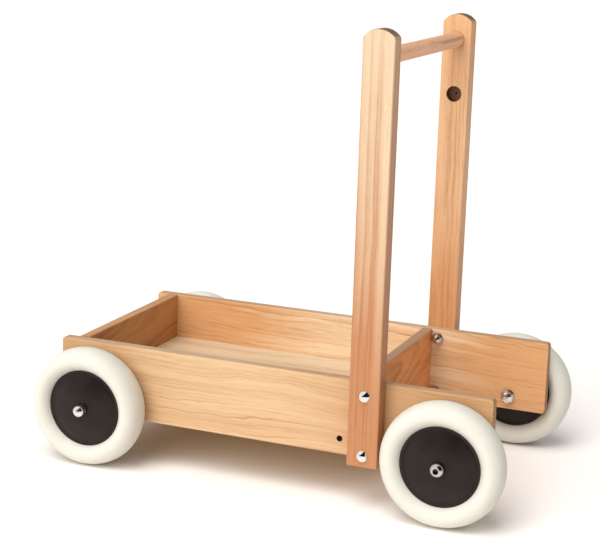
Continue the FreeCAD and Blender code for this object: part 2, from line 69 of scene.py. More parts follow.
class Value:
    """A shader socket that arithmetic can be written on."""

    def __init__(self, graph: "Graph", socket: bpy.types.NodeSocket) -> None:
        """Wraps one output socket of a node in graph."""
        self.graph = graph
        self.socket = socket

    def output(self, name: str) -> "Value":
        """Another output of the same node."""
        return Value(self.graph, self.socket.node.outputs[name])

    def math(self, operation: str, first: "Value | float", second: "Value | float" = 0.0) -> "Value":
        """A Math node on two numbers or sockets."""
        return self.graph.node("Math", {0: first, 1: second}, operation=operation)

    def __add__(self, other: "Value | float") -> "Value":
        """self + other."""
        return self.math("ADD", self, other)

    def __radd__(self, other: float) -> "Value":
        """other + self."""
        return self.math("ADD", other, self)

    def __sub__(self, other: "Value | float") -> "Value":
        """self - other."""
        return self.math("SUBTRACT", self, other)

    def __rsub__(self, other: float) -> "Value":
        """other - self."""
        return self.math("SUBTRACT", other, self)

    def __mul__(self, other: "Value | float") -> "Value":
        """self * other."""
        return self.math("MULTIPLY", self, other)

    def __rmul__(self, other: float) -> "Value":
        """other * self."""
        return self.math("MULTIPLY", other, self)

    def __truediv__(self, other: "Value | float") -> "Value":
        """self / other."""
        return self.math("DIVIDE", self, other)

    def __pow__(self, other: float) -> "Value":
        """self to the power other."""
        return self.math("POWER", self, other)

    def fraction(self) -> "Value":
        """The part after the decimal point."""
        return self.math("FRACT", self)

    def floor(self) -> "Value":
        """The whole number below."""
        return self.math("FLOOR", self)

    def magnitude(self) -> "Value":
        """The number without its sign."""
        return self.math("ABSOLUTE", self)

    def rise(self, low: float, high: float) -> "Value":
        """0 below low, 1 above high, and a smooth step between them."""
        inputs = {"Value": self, "From Min": low, "From Max": high}
        return self.graph.node("MapRange", inputs, interpolation_type="SMOOTHSTEP")


class Graph:
    """The node tree of a material or of the world."""

    def __init__(self, owner: bpy.types.Material | bpy.types.World) -> None:
        """Empties the owner's tree."""
        owner.use_nodes = True
        self.owner = owner
        self.tree = owner.node_tree
        self.tree.nodes.clear()

    @classmethod
    def of_material(cls, name: str) -> "Graph":
        """The tree of a new material."""
        return cls(bpy.data.materials.new(name))

    def node(
        self, kind: str, inputs: dict[Key, object] | None = None, output: Key = 0, **settings: object
    ) -> Value:
        """Adds a node.

        Args:
            kind: the node's type, without ShaderNode.
            inputs: a number, colour or link for each socket, by name or number.
            output: the socket to return.
            settings: its properties, set first. A ramp's stops are pairs of a place and a grey.

        Returns:
            The chosen output.
        """
        node = self.tree.nodes.new(f"ShaderNode{kind}")
        for key, value in settings.items():
            if key == "stops":
                self.set_stops(node.color_ramp.elements, value)
            else:
                setattr(node, key, value)
        for key, value in (inputs or {}).items():
            if isinstance(value, Value):
                self.tree.links.new(value.socket, node.inputs[key])
            elif node.inputs[key].type == "RGBA":
                node.inputs[key].default_value = (*value, 1.0)
            else:
                node.inputs[key].default_value = value
        return Value(self, node.outputs[output] if len(node.outputs) else None)

    @staticmethod
    def set_stops(elements: bpy.types.ColorRampElements, stops: Greys) -> None:
        """Puts the places and greys of stops on a ramp."""
        while len(elements) < len(stops):
            elements.new(1.0)
        for element, (place, grey) in zip(elements, stops):
            element.position = place
            element.color = (grey, grey, grey, 1.0)

    def mix(self, factor: Value | float, low: Value | Colour, high: Value | Colour) -> Value:
        """Mixes two colours: a factor of 0 gives low and 1 gives high."""
        return self.node("Mix", {0: factor, 6: low, 7: high}, 2, data_type="RGBA", clamp_factor=True)

    def vector(self, operation: str, first: object, second: object) -> Value:
        """A Vector Math node on two vectors."""
        return self.node("VectorMath", {0: first, 1: second}, operation=operation)

    def split(self, vector: Value) -> dict[str, Value]:
        """A vector's numbers by the names of their axes."""
        parts = self.node("SeparateXYZ", {0: vector})
        return {axis: parts.output(axis) for axis in "XYZ"}

    def coordinates(self, centre: Vector) -> Value:
        """Object coordinates measured from centre, in metres."""
        point = self.node("TexCoord", output="Object")
        return self.node("Mapping", {"Vector": point, "Location": tuple(-centre)})

    def axle_distance(self, place: Value) -> Value:
        """How far a place is from the X axis."""
        parts = self.split(place)
        return (parts["Y"] * parts["Y"] + parts["Z"] * parts["Z"]) ** 0.5

    def noise(self, place: Value, scale: float, detail: float = 2.0, roughness: float = 0.5) -> Value:
        """Smooth noise between 0 and 1 with scale bumps a metre."""
        inputs = {"Vector": place, "Scale": scale, "Detail": detail, "Roughness": roughness}
        return self.node("TexNoise", inputs)

    def noise_along(self, distance: Value, scale: float) -> Value:
        """Smooth noise between 0 and 1 over one number."""
        return self.node("TexNoise", {"W": distance, "Scale": scale}, noise_dimensions="1D")

    def bump(self, height: Value, depth: float, strength: float) -> Value:
        """A bumped normal from a height between 0 and 1 that stands for depth metres."""
        return self.node("Bump", {"Height": height, "Distance": depth, "Strength": strength})

    def finish(self, **sockets: object) -> bpy.types.Material:
        """Ends the material in a Principled shader.

        Args:
            sockets: values by socket name, with _ for a space.

        Returns:
            The finished material.
        """
        inputs = {name.replace("_", " "): value for name, value in sockets.items()}
        self.node("OutputMaterial", {"Surface": self.node("BsdfPrincipled", inputs)})
        return self.owner


# ---- finishes ----

# Painted shade: black for the insides of holes, the drill's point and the axle bolt's socket.
PAINTED_HOLE_BLACK: Colour = (0.020, 0.009, 0.005)
# Painted sheen and shade for upper faces: a darker grey.
PAINTED_TOP_GREY: Colour = (0.33, 0.22, 0.145)
# Painted shade: dark brown for the walls of the handle's sockets.
PAINTED_SOCKET_BROWN: Colour = (0.080, 0.022, 0.009)
DRILL_POINT: Spot = (0.0011, 0.0016)
Axes = tuple[Value, Value, Value]


@dataclass(frozen=True)
class Bore:
    """A drilled hole along X: its axis, its radius, how far from the walker's middle it reaches, and
    how strongly its wall takes the wall colour, a painted shade for the dark inside of the hole."""

    y: float
    z: float
    radius: float
    reach: float
    char: float
    wall: Colour


# The free hole and the handle sockets get painted shade on their walls.
FREE_HOLE = Bore(y=0.0825, z=0.0664, radius=0.0031, reach=0.2, char=0.97, wall=PAINTED_HOLE_BLACK)
BAR_SOCKETS = tuple(
    Bore(y=0.114, z=z, radius=0.00855, reach=0.132, char=0.84, wall=PAINTED_SOCKET_BROWN) for z in (0.460, 0.400)
)


@dataclass(frozen=True)
class Mark:
    """Noise that runs with the grain: marks a metre across it, its scale along it as a share of that,
    its detail and its roughness."""

    scale: float
    along: float
    detail: float = 2.0
    roughness: float = 0.5

    def place(self, axes: Axes) -> Value:
        """The place on axes across, through and along the grain, with the last one drawn out."""
        across, through, along = axes
        return across.graph.node("CombineXYZ", {0: across, 1: through, 2: along * self.along})

    def over(self, axes: Axes) -> Value:
        """The noise on those axes."""
        return axes[0].graph.noise(self.place(axes), self.scale, self.detail, self.roughness)


DRIFT = Mark(16.0, 0.28, 1.0)
RIPPLE = Mark(75.0, 0.35)
BREAK = Mark(55.0, 0.12, 2.0, 0.6)
STREAK = Mark(300.0, 0.035, 3.0, 0.6)
THREAD = Mark(640.0, 0.07, 2.0, 0.6)
FIBRE = Mark(1500.0, 0.035, 2.0, 0.6)
BLOTCH = Mark(14.0, 0.22)
RAY = Mark(620.0, 0.22)
PORES = 1100.0


class Grain(Enum):
    """The way a piece's grain runs, as the order of its across, through and along axes."""

    ALONG_X = ("Y", "Z", "X")
    ALONG_Y = ("Z", "X", "Y")
    ALONG_Z = ("Y", "X", "Z")


@dataclass(frozen=True)
class Beech:
    """Lacquered beech as sawn from a round log, so that every face and end shows the same rings.

    The log's middle, pith, lies beside the piece's and leans along it; a ring is ring wide and runs
    as unevenly as wander. The colour goes from pale to warm by the wood's banding and blotch, by base
    over the whole piece, and by fade and ends along the grain. On the boards and the floor panel these
    are painted shade; on the uprights they make the foot warmer and darker. Flank is painted shade
    that warms the faces that face along Y. From there the colour goes to deep by figure, mottle and
    fleck. End grain has the end colour, and the upper faces take a painted grey sheen and shade by a
    share of their own.
    """

    name: str
    grain: Grain
    pith: tuple[float, float]
    lean: tuple[float, float] = (0.0, 0.0)
    ring: float = 0.0032
    wander: float = 0.004
    pale: Colour = (0.722, 0.487, 0.278)
    warm: Colour = (0.626, 0.348, 0.165)
    deep: Colour = (0.435, 0.2, 0.078)
    end: Colour = (0.13, 0.080, 0.050)
    figure: float = 0.42
    banding: float = 0.45
    blotch: float = 0.5
    mottle: float = 1.0
    fleck: float = 0.5
    base: float = 0.0
    # fade and ends warm the colour along the grain: painted shade on the boards and the floor panel; on the
    # uprights the foot comes out warmer and darker.
    fade: float = 0.0
    ends: float = 0.0
    # flank is painted shade: faces that face along Y come out warmer and darker.
    flank: float = 0.0
    # Share of painted grey sheen and shade on the upper faces.
    painted_top_grey_share: float = 0.0
    bores: tuple[Bore, ...] = ()
    roughness: float = 0.50
    coat: float = 0.04

    def material(self, centre: Vector) -> bpy.types.Material:
        """The finish for a piece whose middle is centre.

        Long streaks, broad blotches, fine fibres and short ray flecks lie over the rings. The colour
        is warmer along a slope and towards the ends by the square of the distance, which on the boards is
        painted shade. Faces along Y are warmer as painted shade, and the upper faces are greyer and darker
        as a painted sheen and shade.
        """
        g = Graph.of_material(self.name)
        place = g.coordinates(centre)
        parts = g.split(place)
        axes = tuple(parts[axis] for axis in self.grain.value)
        late, tone, broad = self.rings(g, axes)
        streak, thread, fibre, blotch = (mark.over(axes) for mark in (STREAK, THREAD, FIBRE, BLOTCH))
        cells = g.node("TexVoronoi", {"Vector": RAY.place(axes), "Scale": RAY.scale})
        chosen = g.node("SeparateColor", {0: cells.output("Color")})
        rays = (1.0 - cells.rise(0.12, 0.30)) * chosen.rise(0.50, 0.70)

        facing = g.split(g.node("TexCoord", output="Normal"))
        along = axes[2]
        # Banding, blotch and tone are the wood's own; fade, ends and flank add painted shade, and on the
        # uprights fade makes the foot warmer and darker.
        warmth_and_painted_shade = broad.rise(0.30, 0.72) * self.banding + blotch.rise(0.35, 0.70) * self.blotch
        warmth_and_painted_shade = warmth_and_painted_shade + (tone - 0.5) * (0.6 * self.banding) + along * (-self.fade)
        warmth_and_painted_shade = warmth_and_painted_shade + along * along * self.ends + facing["Y"].magnitude() * self.flank + self.base
        colour = g.mix(warmth_and_painted_shade, self.pale, self.warm)
        dark = late * (self.figure * 0.80) * (0.35 + tone * 0.95)
        mottle = (streak - 0.5) * 0.80 + (thread - 0.5) * 0.60 + (fibre - 0.5) * 0.26
        dark = dark + mottle * self.mottle + rays * (self.fleck * 0.5) + (broad - 0.5) * (self.banding * 0.7)
        colour = g.mix(dark, colour, self.deep)
        # Painted sheen and shade: upward faces turn towards a darker grey.
        if self.painted_top_grey_share:
            colour = g.mix(facing["Z"].rise(0.35, 0.8) * self.painted_top_grey_share, colour, PAINTED_TOP_GREY)
        end_grain = facing[self.grain.value[2]].magnitude().rise(0.45, 0.85)
        pores = g.noise(place, PORES, 2.0, 0.7)
        colour = g.mix(end_grain * (0.70 + pores * 0.40), colour, self.end)

        height = fibre * 0.45 + streak * 0.3 + thread * 0.2 - late * 0.25 - rays * 0.3
        return g.finish(
            Base_Color=self.paint_bore_shade(g, place, centre, colour),
            Roughness=self.roughness + (fibre - 0.5) * 0.16 + late * 0.05 + end_grain * 0.18,
            Normal=g.bump(height, 0.00012, 0.55),
            Specular_IOR_Level=0.30,
            Coat_Weight=self.coat,
            Coat_Roughness=0.28,
        )

    def rings(self, g: Graph, axes: Axes) -> tuple[Value, Value, Value]:
        """The growth rings.

        A ring is the distance from the log's middle, which wanders and leans along the grain, cut
        into steps of the ring width. Each ring has a tone of its own and darkens to its late wood,
        which is broken along the grain.

        Args:
            g: the material's graph.
            axes: the place across, through and along the grain.

        Returns:
            The late wood, the rings' own tones and the slow change over many rings.
        """
        across, through, along = axes
        drift = (DRIFT.over(axes) - 0.5) * (self.wander * 4.0)
        ripple = (RIPPLE.over(axes) - 0.5) * (self.wander * 0.9)
        side = across + along * self.lean[0] - self.pith[0] + drift
        depth = through + along * self.lean[1] - self.pith[1] + drift * 0.5
        radius = (side * side + depth * depth) ** 0.5 + ripple
        uneven = (g.noise_along(radius, 90.0) - 0.5) * (self.ring * 2.4)
        rings = (radius + uneven) / self.ring
        inside = rings.fraction()
        broken = BREAK.over(axes).rise(0.28, 0.66)
        late = inside.rise(0.30, 0.90) * (1.0 - inside.rise(0.90, 1.0)) * (0.25 + broken)
        tone = g.node("TexWhiteNoise", {"W": rings.floor()}, noise_dimensions="1D")
        return late, tone, g.noise_along(radius, 0.2 / self.ring)

    def paint_bore_shade(self, g: Graph, place: Value, centre: Vector, colour: Value) -> Value:
        """Paints shade on the walls of the bores, which run along X, for the dark inside them.

        A point lies in a bore if it is near enough to the bore's axis and to the walker's middle.
        The small point that the drill leaves is painted black as shade.
        """
        span = (g.split(place)["X"] + centre.x).magnitude()
        for bore in self.bores:
            offset = g.vector("SUBTRACT", place, (0.0, bore.y - centre.y, bore.z - centre.z))
            away = g.axle_distance(offset)
            inside = 1.0 - span.rise(bore.reach, bore.reach + 0.0005)
            wall = 1.0 - away.rise(bore.radius + 0.00002, bore.radius + 0.0004)
            # Painted shade on the bore's wall.
            colour = g.mix(wall * inside * bore.char, colour, bore.wall)
            # Painted shade: a black dot for the drill's point.
            point = 1.0 - away.rise(*DRILL_POINT)
            colour = g.mix(point * inside, colour, PAINTED_HOLE_BLACK)
        return colour


@dataclass(frozen=True)
class IvoryRubber:
    """Smooth ivory tyre rubber with a faint bloom and handling marks."""

    name: str = "tyre_ivory_rubber"
    clean: Colour = (0.675, 0.656, 0.588)
    worn: Colour = (0.590, 0.545, 0.445)
    tread: Spot = (0.0595, 0.0652)
    bead: Spot = (0.0415, 0.0465)
    flank: Spot = (0.014, 0.019)
    roughness: float = 0.46

    def material(self, centre: Vector) -> bpy.types.Material:
        """The finish for a tyre round an X axle at centre; the tread is a little darker, and the rubber near
        the hub is painted lighter, as painted light against the shade there.
        """
        g = Graph.of_material(self.name)
        place = g.coordinates(centre)
        radius = g.axle_distance(place)
        tread = radius.rise(*self.tread)
        bead = 1.0 - radius.rise(*self.bead)
        cloud = g.noise(place, 38.0, 4.0, 0.6)
        speck = g.noise(place, 900.0, 3.0, 0.65)
        scuff = g.noise(place, 210.0, 5.0, 0.7).rise(0.56, 0.72)
        flank = g.split(place)["X"].magnitude().rise(*self.flank)
        # Dirt and wear, less a painted light near the hub that lifts the rubber against the shade of its
        # inward slope.
        dirt_and_hub_light = cloud.rise(0.35, 0.8) * 0.16 + tread * (0.22 + scuff * 0.35) - bead * 0.20
        dirt_and_hub_light = dirt_and_hub_light + (speck - 0.5) * 0.10 + flank * 0.05
        height = speck * 0.6 + cloud * 0.4 + scuff * tread * 0.3
        return g.finish(
            Base_Color=g.mix(dirt_and_hub_light, self.clean, self.worn),
            Roughness=self.roughness + (speck - 0.5) * 0.12 + tread * 0.12 - cloud * 0.05,
            Normal=g.bump(height, 0.00010, 0.35),
            Subsurface_Weight=0.35,
            Subsurface_Radius=(0.006, 0.005, 0.0035),
            Subsurface_Scale=1.0,
        )


@dataclass(frozen=True)
class DarkPlastic:
    """Dark brown moulded plastic with a fine spark-eroded skin."""

    name: str = "hub_dark_plastic"
    body: Colour = (0.0105, 0.0060, 0.0047)
    bloom: Colour = (0.027, 0.0170, 0.0135)
    rim: Spot = (0.0375, 0.0405)
    roughness: float = 0.33

    def material(self, centre: Vector) -> bpy.types.Material:
        """The finish for a hub round an X axle at centre, with faint flow marks round its gate."""
        g = Graph.of_material(self.name)
        place = g.coordinates(centre)
        radius = g.axle_distance(place)
        skin = g.noise(place, 2600.0, 2.0, 0.6)
        flow = g.noise(place, 45.0, 3.0, 0.55)
        rub = g.noise(place, 320.0, 4.0, 0.7).rise(0.55, 0.75)
        rim = radius.rise(*self.rim)
        dust = flow.rise(0.35, 0.75) * 0.35 + rub * 0.22 + rim * 0.10 + (skin - 0.5) * 0.15
        return g.finish(
            Base_Color=g.mix(dust, self.body, self.bloom),
            Roughness=self.roughness + (skin - 0.5) * 0.12 + flow * 0.08 - rim * 0.08,
            Normal=g.bump(skin * 0.6 + flow * 0.4, 0.00006, 0.5),
            Specular_IOR_Level=0.25,
        )


@dataclass(frozen=True)
class BrightMetal:
    """Plated steel: bright, with fine handling scratches and a soft tarnish."""

    name: str
    tint: Colour = (0.80, 0.79, 0.77)
    tarnish: Colour = (0.52, 0.49, 0.45)
    roughness: float = 0.10
    wear: float = 0.35
    well: float = 0.0

    def material(self, centre: Vector) -> bpy.types.Material:
        """The finish for a turned piece on an X axis through centre; rings follow the turning, and
        nearer the axis than well, in the socket, it is painted black as shade."""
        g = Graph.of_material(self.name)
        place = g.coordinates(centre)
        radius = g.axle_distance(place)
        rings = g.noise_along(radius, 3200.0)
        scratch = g.noise(g.vector("MULTIPLY", place, (1.0, 0.12, 1.0)), 2600.0, 3.0, 0.7)
        cloud = g.noise(place, 420.0, 3.0, 0.6)
        dull = cloud.rise(0.45, 0.75) * self.wear + scratch.rise(0.60, 0.75) * (self.wear * 0.5)
        colour = g.mix(dull, self.tint, self.tarnish)
        # Painted shade: inside the socket the metal is painted black.
        if self.well:
            colour = g.mix(0.96 - radius.rise(self.well, self.well * 1.04) * 0.96, colour, PAINTED_HOLE_BLACK)
        return g.finish(
            Base_Color=colour,
            Metallic=1.0,
            Roughness=self.roughness + dull * 0.22 + rings * 0.05,
            Normal=g.bump(rings * 0.4 + scratch * 0.6, 0.00003, 0.25),
        )


@dataclass(frozen=True)
class StudioFloor:
    """Pale seamless paper with a painted warm shadow under the walker, standing for its shade and the light
    the wood bounces onto it.
    """

    name: str = "studio_paper"
    paper: Colour = (0.965, 0.925, 0.885)
    painted_warm_shadow: Colour = (0.90, 0.760, 0.610)
    across: tuple[float, float] = (0.0, 0.15)
    along: tuple[float, float] = (0.10, 0.30)

    def material(self) -> bpy.types.Material:
        """The floor's finish, with the faint tooth of paper.

        The painted shadow is whole under the tray's middle and fades out between the first and the second
        distance across and along it.
        """
        g = Graph.of_material(self.name)
        place = g.node("TexCoord", output="Object")
        tooth = g.noise(place, 60.0, 2.0, 0.5)
        parts = g.split(place)
        across = 1.0 - parts["X"].magnitude().rise(*self.across)
        along = 1.0 - parts["Y"].magnitude().rise(*self.along)
        # Painted shadow: warmer, darker paper under the walker, for its shade and the wood's bounced light.
        colour = g.mix(across * along, self.paper, self.painted_warm_shadow)
        colour = g.mix(tooth * 0.015, colour, (0.0, 0.0, 0.0))
        return g.finish(Base_Color=colour, Roughness=0.85, Specular_IOR_Level=0.1)


# ---- surfaces ----


@dataclass(frozen=True)
class Surface:
    """Points of a mesh and the corners of its faces, as whole arrays."""

    points: np.ndarray
    faces: list[np.ndarray]

    def joined(self, other: "Surface") -> "Surface":
        """This surface and another one, in one mesh."""
        moved = [block + len(self.points) for block in other.faces]
        return Surface(np.vstack([self.points, other.points]), [*self.faces, *moved])

    def placed(self, centre: Vector, outward: float) -> "Surface":
        """The surface moved to centre with its +X turned to point along outward, +1 or -1."""
        turn = np.array([outward, outward, 1.0])
        return Surface(self.points * turn + np.array(centre), self.faces)

    def mesh(self, name: str, crease: float) -> bpy.types.Object:
        """Makes an object: doubles merged, normals outwards, and edges sharper than crease kept."""
        mesh = bpy.data.meshes.new(name)
        faces = [face for block in self.faces for face in block.tolist()]
        mesh.from_pydata(self.points, [], faces)
        work = bmesh.new()
        work.from_mesh(mesh)
        bmesh.ops.remove_doubles(work, verts=work.verts, dist=MERGE)
        bmesh.ops.dissolve_degenerate(work, edges=work.edges, dist=MERGE)
        bmesh.ops.recalc_face_normals(work, faces=work.faces)
        work.to_mesh(mesh)
        work.free()
        mesh.shade_smooth()
        mesh.set_sharp_from_angle(angle=math.radians(crease))
        piece = bpy.data.objects.new(name, mesh)
        bpy.context.scene.collection.objects.link(piece)
        return piece


def lathe(profile: np.ndarray, segments: int, closed: bool, radius: Radius | None = None) -> Surface:
    """A profile turned round the X axis.

    A point at share s of the profile and angle a is (x(s), r cos a, r sin a), where r is the
    profile's radius at s, or what the radius function makes of that radius and the angle.

    Args:
        profile: rows of x and radius.
        segments: steps round the axis.
        closed: whether the profile's end joins its start.
        radius: changes the radius, from arrays of the angle and the row's radius.

    Returns:
        The turned surface.
    """
    angle = np.linspace(0.0, 2.0 * np.pi, segments, endpoint=False)
    x, turned = np.meshgrid(profile[:, 0], angle, indexing="ij")
    r = np.tile(profile[:, 1:2], (1, segments))
    if radius is not None:
        r = radius(turned, r)
    points = np.stack([x, r * np.cos(turned), r * np.sin(turned)], axis=-1).reshape(-1, 3)
    rows = len(profile)
    row = np.arange(rows if closed else rows - 1)[:, None]
    column = np.arange(segments)[None, :]
    right, below = (column + 1) % segments, (row + 1) % rows
    corners = ((row, column), (row, right), (below, right), (below, column))
    faces = np.stack([first * segments + second for first, second in corners], axis=-1).reshape(-1, 4)
    return Surface(points, [faces])


def arc(centre: Spot, radii: Spot, start: float, end: float, count: int) -> np.ndarray:
    """Points on an ellipse's arc.

    Args:
        centre: its middle, as x and radius.
        radii: its half axes.
        start: the first angle in degrees, from +x towards +radius.
        end: the last angle.
        count: how many points.

    Returns:
        Rows of x and radius.
    """
    a = np.radians(np.linspace(start, end, count))
    return np.stack([centre[0] + radii[0] * np.cos(a), centre[1] + radii[1] * np.sin(a)], axis=1)


def bulge(start: Spot, end: Spot, radius: float, count: int) -> np.ndarray:
    """Points on a circle's arc between two spots, which bulges to the left of the way between them.

    The circle's middle lies on the chord's normal, and the angle steps evenly.

    Args:
        start: the arc's first spot, as x and radius.
        end: its last spot.
        radius: the circle's radius.
        count: how many points.

    Returns:
        Rows of x and radius.
    """
    a, b = np.array(start), np.array(end)
    half = np.linalg.norm(b - a) / 2
    outward = np.array([a[1] - b[1], b[0] - a[0]]) / (2 * half)
    centre = (a + b) / 2 - outward * math.sqrt(radius**2 - half**2)
    first, last = (math.degrees(math.atan2(*(spot - centre)[::-1])) for spot in (a, b))
    return arc(tuple(centre), (radius, radius), first, last, count)


def path(*parts: np.ndarray | Spot) -> np.ndarray:
    """Single points and runs of points joined into one profile."""
    return np.vstack([np.atleast_2d(np.array(part, float)) for part in parts])


def rounded(profile: np.ndarray, radius: float, steps: int = 4, closed: bool = False) -> np.ndarray:
    """A profile with its corners rounded.

    Each corner becomes a quadratic curve from a point radius before it to a point radius after it,
    or less where a side is short; ends of an open profile stay.

    Args:
        profile: rows of x and radius.
        radius: how far from a corner its curve starts.
        steps: points on each curve.
        closed: whether the profile's end joins its start.

    Returns:
        Rows of x and radius.
    """
    before, after = np.roll(profile, 1, axis=0), np.roll(profile, -1, axis=0)
    back, on = before - profile, after - profile
    lengths = [np.linalg.norm(leg, axis=1, keepdims=True) for leg in (back, on)]
    reach = np.minimum(radius, 0.45 * np.minimum(*lengths))
    starts, ends = profile + back / lengths[0] * reach, profile + on / lengths[1] * reach
    t = np.linspace(0.0, 1.0, steps)[None, :, None]
    curves = (1 - t) ** 2 * starts[:, None] + 2 * t * (1 - t) * profile[:, None] + t**2 * ends[:, None]
    if closed:
        return curves.reshape(-1, 2)
    return np.vstack([profile[:1], curves[1:-1].reshape(-1, 2), profile[-1:]])


def shank(length: float, radius: float, ease: float) -> np.ndarray:
    """The profile of a rod from -length to 0 along x, with its end's edge eased."""
    return rounded(path((-length, 0.0), (-length, radius), (0.0, radius)), ease)


def walls(angle: np.ndarray, sides: int, flats: float) -> np.ndarray:
    """A regular polygon's radius at each angle: half of its flats over the cosine of the angle from
    the nearest flat's middle."""
    half_side = np.pi / sides
    return 0.5 * flats / np.cos((angle + half_side) % (2 * half_side) - half_side)


def polygon(sides: int, flats: float) -> Radius:
    """A radius function that cuts a turned profile to a polygon of that many sides and flats."""
    return lambda angle, turned: np.minimum(turned, walls(angle, sides, flats))


def dress(piece: bpy.types.Object, finish: bpy.types.Material) -> None:
    """Gives every slot of a piece the finish."""
    if not piece.data.materials:
        piece.data.materials.append(finish)
    for number in range(len(piece.data.materials)):
        piece.data.materials[number] = finish


def dress_all(finishes: dict[str, Beech | BrightMetal]) -> None:
    """Gives each CAD node the finish beside its name, worked out round the node's middle."""
    for node, finish in finishes.items():
        dress(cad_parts[node], finish.material(middle(node)))
        LOG.info("%s wears %s", node, finish.name)


def middle(node: str) -> Vector:
    """The middle of a CAD node's box."""
    low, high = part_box(node)
    return (low + high) / 2


def seat(node: str, sign: float, inset: float = 0.0) -> Vector:
    """The middle of a node's box, with its X at the box's +X or -X end by sign, less an inset."""
    low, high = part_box(node)
    centre = (low + high) / 2
    return Vector(((high.x if sign > 0 else low.x) - sign * inset, centre.y, centre.z))


def stand_in(piece: bpy.types.Object, node: str, body: str, finish: bpy.types.Material) -> None:
    """Puts a finished piece in a CAD node's place.

    Args:
        piece: the new piece.
        node: the CAD node that it stands for.
        body: the body that it rides on.
        finish: its material.
    """
    dress(piece, finish)
    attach(piece, body)
    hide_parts(node)
    LOG.info("%s stands for %s on %s, %d faces", piece.name, node, body, len(piece.data.polygons))


class Side(Enum):
    """Left and right, each with its sign of X."""

    LEFT = -1.0
    RIGHT = 1.0


# ---- fasteners ----


@dataclass(frozen=True)
class CapNut:
    """A nut with a low closed dome. Its seat is at x = 0 and the dome points along +X."""

    flats: float
    hexagon_height: float
    height: float
    segments: int = 96
    is_round: bool = False

    def surface(self) -> Surface:
        """A chamfered hexagon below an elliptical dome, closed by a flat seat.

        The profile's radius passes the hexagon's corners in the middle and falls by the chamfer at
        both ends, so the flats end in the curved lines that a turned chamfer leaves. A round nut is
        half an ellipse over a short collar instead.
        """
        corner = self.flats / math.sqrt(3)
        flat = self.flats / 2
        if self.is_round:
            start = self.hexagon_height * 0.55
            cap = arc((start, 0.0), (self.height - start, flat), 90.0, 0.0, 28)
            return lathe(path((0.0, 0.0), (0.0, flat - 0.0003), (0.0003, flat), cap), self.segments, False)
        dome = flat * 0.92
        chamfer = (corner - flat) * 0.9
        collar = path(
            (0.0, 0.0),
            (0.0, flat * 0.97),
            (chamfer * 0.45, corner * 1.01),
            (self.hexagon_height - chamfer * 0.5, corner * 1.01),
            (self.hexagon_height, flat * 0.98),
            (self.hexagon_height + 0.00012, dome + 0.00012),
        )
        rise = self.height - self.hexagon_height
        cap = arc((self.hexagon_height + 0.0002, 0.0), (rise - 0.0002, dome), 90.0, 0.0, 18)
        return lathe(path(collar, cap), self.segments, False, polygon(6, self.flats))


@dataclass(frozen=True)
class DomeBolt:
    """A round-headed bolt with a square neck. The head's underside is at x = 0."""

    head_radius: float
    head_height: float
    shank_radius: float
    neck_half: float
    neck_length: float
    length: float
    segments: int = 96

    def surface(self) -> Surface:
        """A low spherical dome with a small rounded rim, its neck and its shank.

        The dome is the arc of a circle through the rim and the top: its radius is the rim's radius
        squared plus the height squared, over twice the height.
        """
        rim = 0.00035
        height = self.head_height - rim
        sphere = (self.head_radius**2 + height**2) / (2 * height)
        half_angle = math.degrees(math.asin(self.head_radius / sphere))
        dome = arc((self.head_height - sphere, 0.0), (sphere, sphere), half_angle, 0.0, 20)
        edge = arc((rim, self.head_radius - rim), (rim, rim), 180.0, 90.0, 5)
        rod = shank(self.length, self.shank_radius, 0.0004)
        head = lathe(path(rod, edge, dome[1:]), self.segments, False)
        neck = path((-self.neck_length, 0.0), (-self.neck_length, 1.0), (0.0, 1.0), (0.0, 0.0))
        square = lathe(neck, 48, False, polygon(4, 2 * self.neck_half))
        return head.joined(square)


@dataclass(frozen=True)
class SocketBolt:
    """A button-headed bolt with a hexagon socket. The head's underside is at x = 0."""

    head_radius: float
    rim: float
    height: float
    flat: float
    dome_radius: float
    socket_flats: float
    socket_depth: float
    shank_radius: float
    length: float
    segments: int = 96

    def surface(self) -> Surface:
        """The shank, the button and its socket as one turned skin whose inner rows are a hexagon.

        The button's side is an arc of dome_radius from the rim to the flat. The socket's rows have
        the hexagon's radius at each angle, and its bottom falls to a shallow drilled point.
        """
        top = (self.height - 0.0003, self.flat + 0.0002)
        side = bulge((self.rim, self.head_radius), top, self.dome_radius, 14)
        outer = path(
            shank(self.length, self.shank_radius, 0.0005),
            (0.0, self.head_radius - 0.0002),
            (0.0002, self.head_radius),
            side,
            (self.height, self.flat - 0.0002),
        )
        skin = lathe(outer, self.segments, False)
        mouth = self.socket_flats / math.sqrt(3)
        floor = self.height - self.socket_depth
        well = path(
            (self.height, self.flat - 0.0002),
            (self.height, mouth + 0.0004),
            (self.height - 0.0003, mouth),
            (floor, mouth),
            (floor - 0.0002, mouth * 0.8),
            (floor - 0.0007, 0.0),
        )
        inner = lathe(well, self.segments, False, self.key_hole)
        return skin.joined(inner)

    def key_hole(self, angle: np.ndarray, turned: np.ndarray) -> np.ndarray:
        """The turned radius outside the socket's mouth, and the hexagon's inside it."""
        corner = self.socket_flats / math.sqrt(3)
        wall = walls(angle, 6, self.socket_flats)
        return np.where(turned > corner * 1.02, turned, wall * turned / corner)


@dataclass(frozen=True)
class Washer:
    """A flat washer from x = 0 to its thickness, with rolled edges."""

    outer: float
    inner: float
    thickness: float

    def surface(self) -> Surface:
        """A rectangle with rounded corners turned round the axis."""
        section = path(
            (0.0, self.inner), (self.thickness, self.inner), (self.thickness, self.outer), (0.0, self.outer)
        )
        return lathe(rounded(section, 0.0003, closed=True), 72, True)
